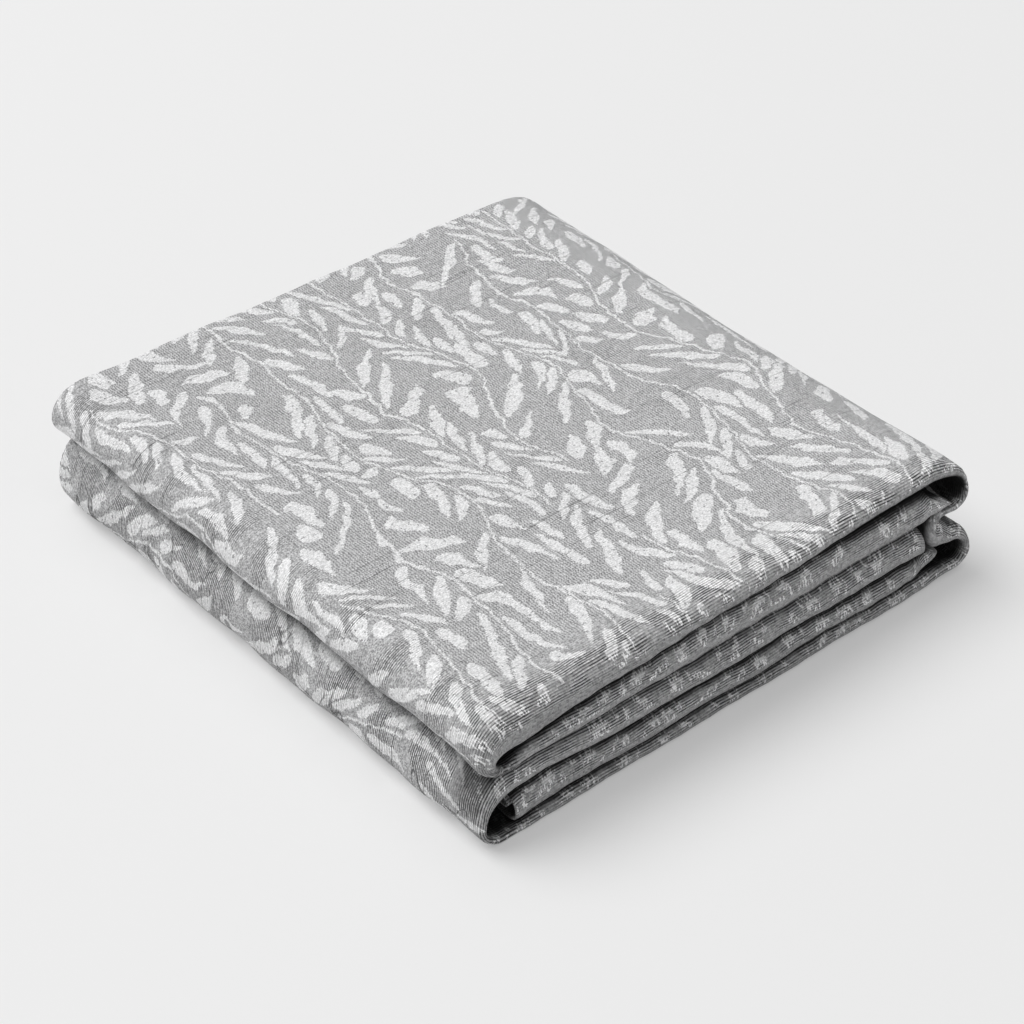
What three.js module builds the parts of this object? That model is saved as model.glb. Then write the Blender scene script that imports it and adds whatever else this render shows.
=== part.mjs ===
// A folded tablecloth: one hemmed panel, first folded lengthwise into a strap of four layers,
// then folded back and forth along the strap into a low stack of five runs, A to E from the top.
// Millimetres. X goes along the strap and Z is up. While it is built, the left folds are at
// x = 0 and the front rolls at y = 0; the finished stack stands centred on the origin.
import * as THREE from "three";

// ---- Driving dimensions ----
const WIDTH = 318; // across Y, front rolls to back folds
const HEIGHT = 67; // the stack's top above the surface it lies on
const CLOTH = 1.6; // thickness of one layer of cloth
const GAP = 0.4; // space kept between neighbouring layers
const LIP = 2 * CLOTH + GAP; // two layers drawn tight round a fold
const STRAP = 4 * CLOTH + 3 * GAP; // four layers pressed together
const NOSE = 7; // how far a full front roll reaches across Y before its layers run flat
const HEM_INSET = 3; // how far the hemmed edges stay inside the back folds

// Along the front, two layers may be drawn tight while all four are pressed together deeper in.
const FRONT_ENDS = 12;
const DEEP_STARTS = 26;
const TUCK = 30; // the two inner layers start here where the front is drawn tight
const ROLL_TUCK = 6; // and here behind a full front roll
const FULL_ROLL = { from: 8, to: 11 }; // thickness of a roll that lets the inner layers come forward

// Heights of the lines between the runs at each x, along the front edge and deep inside.
const LINE_X = [15, 35, 60, 105, 150, 210, 250, 284];
const level = (z) => LINE_X.map(() => z);
const LINES = {
  top: { front: level(HEIGHT), deep: level(HEIGHT) },
  underA: {
    front: [46.2, 48.2, 50.7, 54.6, 57.6, 58.4, 58.3, 58.3],
    deep: [54, 54.3, 54.7, 56.2, 57.8, 58.4, 58.3, 58.3],
  },
  underB: {
    front: [35.6, 37.9, 36.7, 37.3, 37.6, 38.3, 39.2, 39.4],
    deep: [39.5, 40.6, 40, 40, 40, 40, 39.8, 39.1],
  },
  underC: {
    front: [23.3, 24.8, 22.9, 21.8, 21.1, 21.1, 20.5, 20.5],
    deep: [26.3, 27.2, 25.1, 23.8, 22.6, 21.8, 20.5, 20.5],
  },
  underD: {
    front: [4.6, 6.8, 6.8, 7.9, 7.1, 8.9, 8.4, 8.4],
    deep: [11.6, 12, 12, 12, 12, 12, 12, 12],
  },
  floor: { front: level(0), deep: level(0) },
};
const LIFT = { from: 262, to: 290, height: 2.6 }; // the lowest run curls off the surface here

// The bends of the strap: which way each points, the x where the strap comes in and goes out,
// the x of its crest and how much of the way from in to out the crest comes, and its thickness
// along the front where the strap comes in, at the crest and where it goes out. Some have their
// own thickness at the crest deep inside, or their own length over which the runs swell.
const SWELL = 24;
const ownSizes = { deep: STRAP, swell: [SWELL, SWELL] };
const BENDS = {
  leftUpper: {
    ...ownSizes,
    side: -1,
    x: [12, 15],
    crest: [-1.8, 0.45],
    front: [LIP, 12, 20.6],
    swell: [15, 20],
  },
  rightUpper: { ...ownSizes, side: 1, x: [266, 285], crest: [296.3, 0.71], front: [8.5, LIP, LIP] },
  notch: { ...ownSizes, side: -1, x: [276, 276], crest: [275.8, 0.5], front: [LIP, 6.6, 19] },
  rightLower: { ...ownSizes, side: 1, x: [284, 290], crest: [298.5, 0.65], front: [8.6, LIP, 4.2] },
  leftLower: {
    ...ownSizes,
    side: -1,
    x: [12, 14],
    crest: [-2.6, 0.39],
    front: [LIP, 4.4, 12.2],
    swell: [20, SWELL],
  },
  tucked: { ...ownSizes, side: 1, x: [266, 270], crest: [282, 0.6], front: [STRAP, 12, 11], deep: 12 },
};

// The runs in the order the strap passes through them: its direction along X, where it starts
// and ends, and the lines above and below it.
const { leftUpper, rightUpper, rightLower, leftLower, tucked: tuckedBend } = BENDS;
const run = (direction, from, to, over, under) => ({ direction, from, to, over, under });
const RUNS = {
  B: run(-1, 284, leftUpper.x[0], "underA", "underB"),
  A: run(1, leftUpper.x[1], rightUpper.x[0], "top", "underA"),
  E: run(-1, rightLower.x[1], leftLower.x[0], "underD", "floor"),
  C: run(1, leftLower.x[1], tuckedBend.x[0], "underB", "underC"),
  D: run(-1, tuckedBend.x[1], 17, "underC", "underD"),
};
// The x at which the runs have stations; only run C needs them all.
const RUN_X = [28, 40, 76, 112, 148, 184, 220, 246, 256, 262, 270];
const SPARSE_RUN_X = RUN_X.filter((x) => x !== 256);

// The short lips of the strap between the right-hand folds: x and height of the outer face at
// both ends.
const LIPS = {
  upper: { x: [285, 276], z: [39, 39.8] },
  lower: { x: [276, 284], z: [39.4, 29] },
};
// Runs B and C make room for them here.
const LIP_ROOM = { B: { from: 256, to: 266 }, C: { from: 248, to: 264 } };
// Under the upper right-hand fold, run B's top comes down along its front and deep inside.
const DROP = { from: 258, to: 284, depths: [6, 3.2] };
// Runs whose front edge is drawn back towards the right, and those drawn tight there.
const DRAWN_BACK = {
  A: { from: 150, to: 270, depth: 4.5 },
  C: { from: 258, to: 266, depth: TUCK },
  D: { from: 258, to: 270, depth: 8 },
};
const DRAWN_TIGHT = {
  B: { from: 256, to: 270 },
  C: { from: 246, to: 258 },
  D: { from: 220, to: 258 },
};

// The strap's two free ends are pressed a little thinner on each face, more so along the front.
const FREE_ENDS = { B: RUNS.B.from, D: RUNS.D.to };
const PINCH = { each: [1.2, 0.1], length: 14 };

// The stack is not quite square: towards the back its right-hand folds lean out by this much,
// and towards the right its back folds stand in.
const LEAN = { out: 6, fromY: 150, fromX: 200, toX: 300 };
const STAND_IN = { depth: 3, fromY: 200 };

// The middle of the finished stack.
const CENTRE = { x: 150.95, y: 158.93 };

const END_CLEARANCE = 4; // no station comes nearer than this to a run's own ends
const EDGE_FOLLOWS = 0.3; // share of a bend after which its front edge moves to the next run's
const LEAST_STEP = { outer: 1, inner: 0.5 }; // least spacing of the section's points across Y
const ROLL_AT = 2; // a front roll's thickness is read off this far behind its edge
const WRAP_STEPS = 6;
const TUCKED_STEPS = 9;
const ROLL_STEPS = 5;
const SMALL_STEPS = 3;
const COLOUR = new THREE.Color(0.45, 0.45, 0.455);

// ---- Small helpers ----
const { lerp } = THREE.MathUtils;
const ease = (value, from, to) => THREE.MathUtils.smoothstep(value, from, to);
const easeIn = (range, x) => (range ? ease(x, range.from, range.to) : 0);
const mix = (pair, share) => lerp(pair[0], pair[1], share);

// A smooth curve through each line's heights, read off along the front (0) and deep inside (1).
const curves = Object.fromEntries(
  Object.entries(LINES).map(([name, { front, deep }]) => {
    const heights = front.flatMap((z, i) => [z, deep[i]]);
    return [name, new THREE.CubicInterpolant(LINE_X, heights, 2)];
  }),
);

function lineHeights(name, x) {
  const lift = name === "floor" ? LIFT.height * ease(x, LIFT.from, LIFT.to) : 0;
  return Array.from(curves[name].evaluate(x), (z) => z + lift);
}

// ---- Stations ----
// A station is a cut across the strap: its outer and inner face as [front, deep] pairs of x and
// z, how far its front edge is drawn back, and whether its front is drawn tight (1) or full (0).
const station = (outerX, outerZ, innerX, innerZ, edge, tight) => ({
  outer: { x: outerX, z: outerZ },
  inner: { x: innerX, z: innerZ },
  edge,
  tight,
});

function runStation(name, x, ends) {
  const { direction, over: overLine, under: underLine } = RUNS[name];
  const [roomOver, roomUnder] = [name === "C", name === "B"].map((makesRoom) => {
    const room = makesRoom ? easeIn(LIP_ROOM[name], x) : 0;
    return [room * (LIP + GAP), room * (STRAP + GAP)];
  });
  const spaceOver = overLine === "top" ? 0 : GAP / 2;
  const spaceUnder = underLine === "floor" ? 0 : GAP / 2;
  const drop = name === "B" ? easeIn(DROP, x) : 0;
  const over = lineHeights(overLine, x).map(
    (z, i) => z - spaceOver - roomOver[i] - drop * DROP.depths[i],
  );
  const under = lineHeights(underLine, x).map((z, i) => z + spaceUnder + roomUnder[i]);
  let outer = direction > 0 ? over : under;
  let inner = direction > 0 ? under : over;
  let tight = easeIn(DRAWN_TIGHT[name], x);
  for (const { bend, end } of ends) {
    const away = Math.abs(x - bend.x[end]);
    const swell = ease(away, 0, bend.swell[end]);
    const drawn = [bend.front[2 * end], STRAP];
    inner = inner.map((z, i) => lerp(outer[i] - direction * drawn[i], z, swell));
    tight = Math.max(tight, 1 - ease(away, bend.swell[end] / 2, bend.swell[end]));
  }
  const freeEnd = FREE_ENDS[name];
  if (freeEnd !== undefined) {
    const pinched = 1 - ease(Math.abs(x - freeEnd), 0, PINCH.length);
    outer = outer.map((z, i) => z - direction * pinched * PINCH.each[i]);
    inner = inner.map((z, i) => z + direction * pinched * PINCH.each[i]);
  }
  const edge = (DRAWN_BACK[name]?.depth ?? 0) * easeIn(DRAWN_BACK[name], x);
  return station([x, x], outer, [x, x], inner, edge, tight);
}

function runStations(name, ends, xs = SPARSE_RUN_X) {
  const { direction, from, to } = RUNS[name];
  const low = Math.min(from, to);
  const high = Math.max(from, to);
  const isClear = (x) => x > low + END_CLEARANCE && x < high - END_CLEARANCE;
  const places = [low, ...xs.filter(isClear), high];
  if (direction < 0) places.reverse();
  return places.map((x) => runStation(name, x, ends));
}

// One end of a short lip at the notch between the right-hand folds.
function lipStation(lip, end, side, front) {
  const x = lip.x[end];
  const outer = [lip.z[end], lip.z[end]];
  const inner = outer.map((z, i) => z + side * [front, STRAP][i]);
  return station([x, x], outer, [x, x], inner, 0, 1);
}

// The stations of a bend, between the last station before it and the first one after it: a
// quarter turn up to its crest and another one from there.
function bendStations(bend, before, after, steps) {
  const [crestX, crestAt] = bend.crest;
  const hollow = bend === BENDS.notch ? bend.side : -bend.side;
  const innerCrest = [bend.front[1], bend.deep].map((thick) => crestX + hollow * thick);
  const result = [];
  for (let i = 1; i < steps; i++) {
    const angle = (Math.PI * i) / steps;
    const isIn = i < steps / 2;
    const turned = isIn ? crestAt * (1 - Math.cos(angle)) : crestAt - (1 - crestAt) * Math.cos(angle);
    const baseX = bend.x[isIn ? 0 : 1];
    const [outerX, ...innerX] = [crestX, ...innerCrest].map((x) => {
      const reach = Math.max((x - baseX) * bend.side, GAP / 2);
      return baseX + bend.side * reach * Math.sin(angle);
    });
    const between = (face) => before[face].z.map((z, k) => lerp(z, after[face].z[k], turned));
    const edge = lerp(before.edge, after.edge, ease(i / steps, EDGE_FOLLOWS, 1));
    const tight = lerp(before.tight, after.tight, turned);
    result.push(station([outerX, outerX], between("outer"), innerX, between("inner"), edge, tight));
  }
  return result;
}

function strapStations() {
  const b = runStations("B", [{ bend: BENDS.leftUpper, end: 0 }]);
  const a = runStations("A", [{ bend: BENDS.leftUpper, end: 1 }, { bend: BENDS.rightUpper, end: 0 }]);
  const upperLip = [0, 1].map((end) => lipStation(LIPS.upper, end, 1, LIP));
  const lowerFront = [BENDS.notch.front[2], BENDS.rightLower.front[0]];
  const lowerLip = [0, 1].map((end) => lipStation(LIPS.lower, end, -1, lowerFront[end]));
  const e = runStations("E", [{ bend: BENDS.rightLower, end: 1 }, { bend: BENDS.leftLower, end: 0 }]);
  const c = runStations("C", [{ bend: BENDS.leftLower, end: 1 }], RUN_X);
  const d = runStations("D", []);
  const parts = [b, a, upperLip, lowerLip, e, c, d];
  const joins = ["leftUpper", "rightUpper", "notch", "rightLower", "leftLower", "tucked"];
  const stations = [...b];
  joins.forEach((name, i) => {
    const next = parts[i + 1];
    const steps = name === "tucked" ? TUCKED_STEPS : WRAP_STEPS;
    stations.push(...bendStations(BENDS[name], stations.at(-1), next[0], steps), ...next);
  });
  return stations;
}

// ---- The section of the strap ----
// Layers count from the outer face: 0 and 3 meet in the front roll, 0 and 1 in the back fold,
// 1 and 2 in the inner front fold. Layers 2 and 3 end in the hems.
const faceAt = (face, share) => new THREE.Vector2(mix(face.x, share), mix(face.z, share));
const shareAt = (y) => THREE.MathUtils.clamp((y - FRONT_ENDS) / (DEEP_STARTS - FRONT_ENDS), 0, 1);

function thicknessAt(cut, y) {
  const share = shareAt(y);
  return faceAt(cut.outer, share).distanceTo(faceAt(cut.inner, share));
}

const pitchAt = (cut, y) => (thicknessAt(cut, y) - CLOTH) / 3;
const layerDepth = (cut, layer, y) => CLOTH / 2 + layer * pitchAt(cut, y);

// Middle line of the sheet through one station: points across Y and into the strap's depth,
// each with the direction that its outer side faces.
function sectionLine(cut) {
  const line = [];
  const flat = (layer, ys, faces) => {
    for (const y of ys) line.push({ y, depth: layerDepth(cut, layer, y), facing: [0, faces] });
  };
  const turn = (y, reach, layers, steps, faces) => {
    const [from, to] = layers.map((layer) => layerDepth(cut, layer, y));
    const middle = (from + to) / 2;
    const half = (to - from) / 2;
    for (let i = 1; i < steps; i++) {
      const angle = (Math.PI * i) / steps;
      const across = Math.sin(angle) * reach;
      const facing = new THREE.Vector2(Math.sin(angle) / reach, -Math.cos(angle) / half).normalize();
      facing.multiplyScalar(faces);
      line.push({ y: y + across, depth: middle - half * Math.cos(angle), facing: facing.toArray() });
    }
  };
  const rollThickness = thicknessAt(cut, cut.edge + ROLL_AT);
  const nose = Math.min(NOSE, rollThickness / 2);
  const rollEnds = cut.edge + nose;
  const near = Math.max(FRONT_ENDS, rollEnds + LEAST_STEP.outer);
  const far = Math.max(DEEP_STARTS, near + LEAST_STEP.outer);
  const full = (1 - cut.tight) * ease(thicknessAt(cut, rollEnds), FULL_ROLL.from, FULL_ROLL.to);
  const tucked = lerp(Math.max(TUCK, cut.edge + ROLL_TUCK), cut.edge + ROLL_TUCK, full);
  const innerEnds = tucked + pitchAt(cut, tucked) / 2 + CLOTH / 2;
  const innerNear = Math.max(near, innerEnds + LEAST_STEP.inner);
  const innerFar = Math.max(far, innerNear + LEAST_STEP.inner);
  const backRadius = pitchAt(cut, WIDTH) / 2;
  const backEnds = WIDTH - backRadius - CLOTH / 2;
  const hem = WIDTH - HEM_INSET;

  flat(3, [hem, far, near, rollEnds], 1);
  turn(rollEnds, CLOTH / 2 - nose, [3, 0], ROLL_STEPS, 1);
  flat(0, [rollEnds, near, far, backEnds], -1);
  turn(backEnds, backRadius, [0, 1], SMALL_STEPS, 1);
  flat(1, [backEnds, innerFar, innerNear, innerEnds], 1);
  turn(innerEnds, -pitchAt(cut, tucked) / 2, [1, 2], SMALL_STEPS, -1);
  flat(2, [innerEnds, innerNear, innerFar, hem], -1);
  return line;
}

// Closed outline of the sheet at one station: its outer side, then its inner side backwards.
function sheetOutline(cut) {
  const line = sectionLine(cut);
  const place = ({ y, depth, facing }, side) => {
    const across = y + (side * facing[0] * CLOTH) / 2;
    const share = shareAt(y);
    const outer = faceAt(cut.outer, share);
    const into = faceAt(cut.inner, share).sub(outer).normalize();
    outer.addScaledVector(into, depth + (side * facing[1] * CLOTH) / 2);
    const lean = LEAN.out * ease(across, LEAN.fromY, WIDTH) * ease(outer.x, LEAN.fromX, LEAN.toX);
    const standIn = STAND_IN.depth * ease(across, STAND_IN.fromY, WIDTH) * (outer.x / LEAN.toX);
    return [outer.x + lean - CENTRE.x, across - standIn - CENTRE.y, outer.y];
  };
  return [...line.map((p) => place(p, 1)), ...line.map((p) => place(p, -1)).reverse()];
}

// ---- The cloth as one closed body ----
function clothGeometry() {
  const rings = strapStations().map(sheetOutline);
  const count = rings[0].length;
  const positions = rings.flat(2);
  const index = [];
  const quad = (a, b, c, d) => index.push(a, c, b, a, d, c);
  // Both sides of the sheet are split along matching diagonals, so that a twisted patch keeps
  // its thickness.
  for (let ring = 0; ring + 1 < rings.length; ring++) {
    for (let i = 0; i < count; i++) {
      const j = (i + 1) % count;
      const [a, b] = [ring * count + i, ring * count + j];
      const corners = [a, b, b + count, a + count];
      if (i >= count / 2) corners.push(corners.shift());
      quad(...corners);
    }
  }
  const last = (rings.length - 1) * count;
  for (let i = 0; i + 1 < count / 2; i++) {
    const opposite = count - 1 - i;
    quad(i, opposite, opposite - 1, i + 1);
    quad(last + i, last + i + 1, last + opposite - 1, last + opposite);
  }
  const geometry = new THREE.BufferGeometry();
  geometry.setAttribute("position", new THREE.Float32BufferAttribute(positions, 3));
  geometry.setIndex(index);
  geometry.computeVertexNormals();
  return geometry;
}

const cloth = new THREE.Mesh(
  clothGeometry(),
  new THREE.MeshStandardMaterial({ color: COLOUR, roughness: 0.85, metalness: 0 }),
);
cloth.name = "tablecloth";

const tablecloth = new THREE.Group();
tablecloth.add(cloth);
export default tablecloth;
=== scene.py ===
"""A folded tablecloth: one hemmed panel of leaf-patterned jacquard, folded lengthwise into a strap
of four layers and then back and forth into a low stack of five runs, A to E from the top.

Sizes are in millimetres until a piece is finished, which is in metres. X goes along the strap and
Z is up. The left folds are at x = 0 and the front rolls at y = 0 until the stack is centred."""
import math

import bpy
import numpy as np
from mathutils import Matrix, Vector


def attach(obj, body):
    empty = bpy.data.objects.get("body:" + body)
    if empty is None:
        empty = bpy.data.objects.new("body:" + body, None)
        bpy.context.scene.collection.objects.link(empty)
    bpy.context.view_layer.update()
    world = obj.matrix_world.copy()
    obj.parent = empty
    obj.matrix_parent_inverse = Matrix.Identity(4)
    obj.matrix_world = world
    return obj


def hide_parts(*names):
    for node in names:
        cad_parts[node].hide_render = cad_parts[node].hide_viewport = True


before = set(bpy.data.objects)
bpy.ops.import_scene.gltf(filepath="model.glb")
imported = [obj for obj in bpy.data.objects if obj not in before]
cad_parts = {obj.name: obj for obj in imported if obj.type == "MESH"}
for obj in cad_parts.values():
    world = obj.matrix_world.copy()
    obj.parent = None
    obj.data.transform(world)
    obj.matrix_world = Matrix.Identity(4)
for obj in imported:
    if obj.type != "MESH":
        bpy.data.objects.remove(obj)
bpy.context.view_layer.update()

NODE = "tablecloth"

bl_info = {
    "name": "Folded tablecloth",
    "version": (1, 0, 0),
    "blender": (4, 5, 0),
    "location": "3D View > Sidebar > Tablecloth",
    "description": "Builds a folded jacquard tablecloth and the plain stage it lies on",
    "category": "Add Mesh",
}

MM = 0.001

# ---- Shape of the stack ----
WIDTH, HEIGHT = 318, 67
CLOTH = 1.1  # one layer
LIP, STRAP = 2.7, 7.6  # two layers drawn tight round a fold, and four pressed together
GAP = 0.4  # between neighbouring runs
FRONT_GAP = 0.5  # taken off each face of a run along its front roll
NOSE = 8  # how far a full front roll reaches before its layers run flat
HEM_INSET = 3  # from the back folds to the hemmed edges
FRONT_ENDS, DEEP_STARTS = 12, 26  # sizes at the front hold up to here, deep ones from here on
TUCK, ROLL_TUCK = 30, 6  # where the inner layers start: behind a drawn front, and in a full roll
FULL_ROLL = (8, 11)  # thicknesses between which a drawn front becomes a full roll
ROLL_MEASURED = 2  # how far behind its edge a front is measured

# Heights of the lines between the runs, along the front edge and deep inside.
LINE_X = [15, 35, 60, 105, 150, 210, 250, 284]
LINES = {
    "top": ([HEIGHT] * 8, [HEIGHT] * 8),
    "under A": (
        [46.2, 48.2, 50.7, 54.6, 57.6, 58.4, 58.3, 58.3],
        [54, 54.3, 54.7, 56.2, 57.8, 58.4, 58.3, 58.3],
    ),
    "under B": (
        [37.4, 38.3, 36.9, 37.3, 37.6, 38.3, 39.2, 39.4],
        [39.5, 40.6, 40, 40, 40, 40, 39.8, 39.1],
    ),
    "under C": (
        [23.3, 24.8, 22.9, 21.8, 21.1, 21.1, 20.5, 20.5],
        [26.3, 27.2, 25.1, 23.8, 22.6, 21.8, 20.5, 20.5],
    ),
    "under D": (
        [4.6, 6.8, 6.8, 7.9, 7.1, 8.9, 8.4, 8.4],
        [11.6, 12, 12, 12, 12, 12, 12, 12],
    ),
    "floor": ([0] * 8, [0] * 8),
}
LIFT = (262, 290, 2.6)  # the lowest run curls off the surface between these

# Bends: side, x in and out, crest x and its share of the way, front thickness in, at the crest
# and out, thickness deep inside, and the lengths over which the runs swell.
SWELL = 24
BENDS = {
    "left upper": (-1, (12, 15), (-1.8, 0.45), (LIP, 12, 20.6), STRAP, (15, 20)),
    "right upper": (1, (266, 285), (296.3, 0.71), (8.5, LIP, LIP), STRAP, (SWELL, SWELL)),
    "notch": (-1, (276, 276), (275.8, 0.5), (LIP, 7.8, 19), STRAP, (SWELL, SWELL)),
    "right lower": (1, (284, 290), (298.5, 0.65), (8.6, LIP, 4.2), STRAP, (SWELL, SWELL)),
    "left lower": (-1, (12, 14), (-2.6, 0.39), (LIP, 4.4, 12.2), STRAP, (20, SWELL)),
    "tucked": (1, (267, 270), (282, 0.6), (STRAP, 11, 10), 12, (SWELL, SWELL)),
}
# Shares of a bend over which its front edge moves from one run's to the next.
EDGE_MOVES = dict.fromkeys(BENDS, (0.3, 1)) | {"tucked": (0.48, 0.66)}

# Runs: direction along X, where they start and end, and the lines above and below them.
RUNS = {
    "A": (1, 15, 266, "top", "under A"),
    "B": (-1, 284, 12, "under A", "under B"),
    "C": (1, 14, 267, "under B", "under C"),
    "D": (-1, 270, 17, "under C", "under D"),
    "E": (-1, 290, 12, "under D", "floor"),
}
# Lips of the notch at the right: X and Z of their ends, and where the runs make room for them.
LIPS = {"upper": ((285, 276), (39, 39.8)), "lower": ((276, 284), (39.4, 29))}
LIP_ROOM = {"B": (262, 268.4), "C": (260, 267)}
END_RISE = 1.6  # how far run B's front comes up over the upper lip
DROP = (258, 284, (6, 3.2))  # run B's upper face drops between these, at the front and deep inside
DRAWN_BACK = {"A": (150, 270, 4.5), "C": (264.6, 267, TUCK), "D": (258, 270, 3)}
DRAWN_TIGHT = {"B": (256, 270), "C": (246, 258), "D": (220, 258)}
SLANT = (262, 284, 10)  # towards run B's free end its upper face falls back by this much
FREE_ENDS = {"B": 284, "D": 17}
PINCH = ((1.2, 0.1), 14)  # taken off each face of a free end, over this length
LEAN = (6, 150, 200, 300)  # how far the back right corner leans out, from this Y, between these X
STAND_IN = (3, 200)  # and how far it stands in, from this Y
CENTRE = (150.95, 158.93)  # middle of the stack's outline

# ---- How finely the sheet is drawn ----
# Stretches of the runs, and the spacing of stations in each.
STRETCHES = ((0, 34), (34, 250), (250, 300))
SPACING = {"A": (3, 4, 2), "B": (3, 6, 1.6), "C": (3, 6, 1.2), "D": (3, 6, 3), "E": (3, 6, 4)}
BEND_STEPS = dict.fromkeys(BENDS, 14) | {"tucked": 20}
LIP_STEPS = 4
ROLL_STEPS, TURN_STEPS, INNER_STEPS = 18, 7, 4  # round a front roll, a back fold and an inner one
# Points across the strap, as shares of the innermost layer, the outer one and those between.
HIDDEN = np.array([0, 0.43, 0.72, 0.86, 0.92, 0.947, 0.963, 0.976, 0.987, 0.9936, 1])
FACE = np.concatenate([np.linspace(0, 0.1, 14)[:-1], np.linspace(0.1, 0.97, 56), [0.985, 1]])
INSIDE = (np.linspace(0, 1, 6) + np.linspace(0, 1, 6) ** 2) / 2

# ---- Unevenness of the folded stack ----
# Waves: size, length, rise and start. Those of the top have a length along X and along Y.
LINE_WAVES = [(0.3, 71, 0.13, 1), (0.17, 19, 0.2, 2.1), (0.13, 9.2, 0.3, 0.4)]
FRONT_WAVES = [(0.3, 67, 0.17, 0.5), (0.17, 17.5, 0.25, 1.7)]
LEFT_WAVES = [(0.55, 83, 0.11, 0.2), (0.28, 37, 0.2, 2.6)]
TOP_WAVES = [(0.35, 143, 211, 1), (0.25, 71, -97, 2.2), (0.15, 33, 58, 0.6)]
LEFT_LIFT = 0.6  # share of the left's sway that also lifts its lines
SHOULDER = (2, 18)  # how far the top's front edge drops, and over what distance
# Distances over which waves fade, and heights over which they and the shoulder set in.
BEHIND_FRONT, BEHIND_LEFT = (8, 34), (10, 45)
OVER_FLOOR, UNDER_TOP = (0, 12), (57, 67)
SHOULDER_SETS_IN, TOP_SETS_IN = (54, 67), (40, 67)

PUCKER_SEED, CLEAR_OF_FLOOR = 3.0, 20  # puckers are at their deepest this high above the floor

# ---- Rolls, and the marks of the folds: ribs in the weave, and painted shade ----
FULLEST = 0.38  # height of a lying roll's fullest point in its band
ROUNDS_UNDER, ROUNDS_OVER = (3, 0.5), (1.8, 0.62)  # powers of its curve below and above it
FRONT_FADES, LEFT_FADES = (9, 40), (4, 26)  # distances over which their marks fade out
HOLLOW_STARTS, HOLLOW_LAYERS = (1.5, 5), (0.6, 0.95)  # where painted shade darkens an open fold inside
OPEN_BAND = 0.72  # nothing lies on the top run's roll, so its band stops at this height, below the painted shade where a roll bears on the next

# ---- The weave and the shade painted on it, in millimetres along the strap and across it ----
THREAD, PICK, RIB = 0.55, 0.7, 1.15  # from one to the next, threads and ribs across the strap
PICK_SHIFT = 0.9  # how far a thread's picks may lie from its neighbour's
SLUB = (42, 9, 0.972, 0.03)  # a thick thread's length, shift and rareness, and more at the left
FLOATS_VARY, FLOATS_SHOW = 0.15, 0.53  # by thread, and the noise above which they show
RIB_PIECE = 4  # length of a rib's pieces
RIB_SHADE, RIB_LIGHT, RIB_ON_LEAF = -0.9, 0.2, 0.6  # painted shade between ribs, painted highlight on them, and share on a leaf
LEFT_RIBS = 0.8  # how bold ribs are on the left folds
CREASES, CREASE_SHADE = 3, -0.55  # how close they lie, and how dark their painted shade is
BEARS_SHADE, EDGE_SHADE = 0.5, 0.78  # painted shade where a roll bears on the next, and at its very edge
EDGEWISE_SHADE, HOLLOW_SHADE = 0.3, -0.93  # painted shade on a roll that stands on edge, and in an open fold
FOLDS_MEET = 0.0385  # metres: height at which the two left folds bear on each other, and their painted shadow lies
DARKEST = 0.12
PAIRS_SHARE = (0.5, 0.05)  # of the grain: what the front adds, and what is everywhere
GROUND_GRAIN, GROUND_LINES = (0.2, 0.75), (-0.28, 0.32)  # the same for bends in the cloth
GROUND_LINE, GROUND_BREAKS = 1.4, 2.8  # between lines, and how far a thread shifts them
LEAF_GRAIN, LEAF_LIGHT = 0.5, (0.45, 0.76)  # the same for rolls, whose leaves get a painted highlight
RIB_RELIEF, GRAIN_RELIEF = (0.85, 0.15), 0.25  # the same for bold ribs
ROUGHNESS = (0.78, 0.6)  # of ground and leaf

# Noises of the weave: how they are stretched along and across the strap, scale and detail.
CLOUDS = {
    "floats": (1, 0.35, 0.85, 1),
    "patches": (0.4, 1, 0.05, 2),
    "worn": (0.6, 1, 0.13, 1),
    "creases": (0.5, 1, 0.05, 1),
}
# How the weave's features and its painted shade set in: from, to and, where not 0 and 1, what they
# are there.
SETS_IN = {
    # by nearness to the front, two of them bounding painted shade under and between the rolls
    "roll": (0.85, 1), "ribs by front": (0.7, 0.99), "under": (0.8, 1),
    "painted groove shade": (0.5, 0.9), "bent": (0.2, 0.8),
    # by height in a roll's band, the last four placing painted shade
    "lower roll": (0.72, 0.6), "upper roll": (0.73, 0.76), "floats": (0.38, 0.44),
    "ribs by band": (0.38, 0.5), "underside": (0.5, 0.1, 0, 0.24),
    "bears": (0.73, 0.9), "lower edge": (0.14, 0.06), "upper edge": (0.86, 0.94),
    # by nearness to the left, and in metres by height and towards the back; all but low place the
    # painted shadow where the left folds meet
    "by the left": (0.1, 0.6), "low": (0.03, 0.036, 1, 0),
    "folds meet": (0, 0.0065, 0.6, 0), "back": (0.06, 0.15, 1, 0.45),
    # by how far a fold stands on edge, by a rib's own wave, and by noise
    "ribs on edge": (0, 0.7, 1, 0.5), "rib": (-0.8, 0.6), "worn": (0.36, 0.56, 0.4, 1.1),
    "left": (0.45, 0.6), "low left": (0.38, 0.5), "elsewhere": (0.6, 0.8, 0.12, 0.5),
    "slubs": (0.4, 0.6, -0.1, -0.36), "crease": (0.01, 0.035, 1, 0),
}

# ---- Leaves of the weave ----
STEM_GAP, LEAF_GAP = 34, 17  # from one stem to the next, and from one leaf on it to the next
STEM_PIECE, STEM_BREAKS = 64, 0.3  # length of a stem's pieces, and the share left out
STEM_HALF = 0.6
STEM_WAVES = ((3.4, 15, 6.3), (0.7, 5.3, 17))  # size, length, and shift drawn by lot
ROW_SHIFT = 200  # keeps rows from being alike
LEAF_LEAN = 1.15  # millimetres along the stem for each one away from it
LEAN_VARIES, LEAF_ARCH = (1.3, 26), 0.012  # how much, over what length, and more further out
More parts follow.
